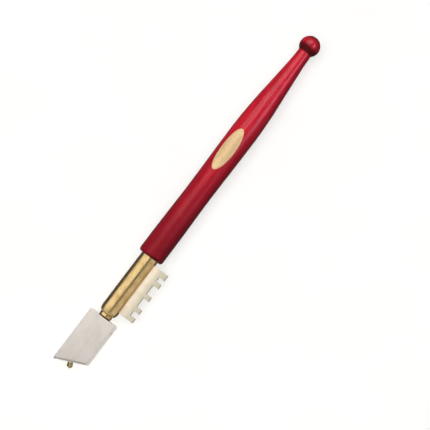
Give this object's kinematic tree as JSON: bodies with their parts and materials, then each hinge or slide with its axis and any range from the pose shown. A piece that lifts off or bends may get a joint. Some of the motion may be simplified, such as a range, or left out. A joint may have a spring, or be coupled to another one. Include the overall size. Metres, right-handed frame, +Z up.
{
  "type": "diamond glass cutter",
  "caption": "Diamond glass cutter: turned wooden handle with a tapping ball, brass barrel with a notched breaking comb, and a flat swivelling head with a diamond stud on its slanted edge.",
  "frame": {"origin": "on the surface the tool lies on, under the middle of its bounding box", "axes": "+X along the tool from the tapping ball to the diamond, +Y to the side of the breaking comb, +Z up, square to the head's broad faces"},
  "size_m": [0.185, 0.0186, 0.0124],
  "materials": {
    "handle_lacquer": "turned wood, red gloss lacquer",
    "gold_foil": "plain gold foil panel on the lacquer",
    "brass": "turned and polished",
    "plug_wood": "plain turned dowel",
    "comb_nickel": "stamped steel, nickel plated, warm satin",
    "head_nickel": "satin nickel plate, finely ground",
    "steel": "bright drawn steel",
    "dark_steel": "blackened spring steel washer",
    "diamond": "small dark set diamond"
  },
  "bodies": {
    "handle_body": {"handle": "handle_lacquer", "barrel": "brass", "nose_bush": "brass", "core_plug": "plug_wood", "comb_plate": "comb_nickel", "comb_pins": "steel", "thrust_washer": "brass"},
    "swivel_head": {"swivel_stem": "steel", "friction_spring": "steel", "stop_pin": "steel", "head_washer": "dark_steel", "head_plate": "head_nickel", "stem_lock_pin": "steel", "diamond_stud": "brass", "diamond_tip": "diamond"}
  },
  "joints": [
    {"name": "head_swivel", "type": "hinge", "parent": "handle_body", "child": "swivel_head", "pos_m": [0.061, -0.00235, 0.0062], "axis": [1, 0, 0], "range_deg": [-20, 20]}
  ]
}
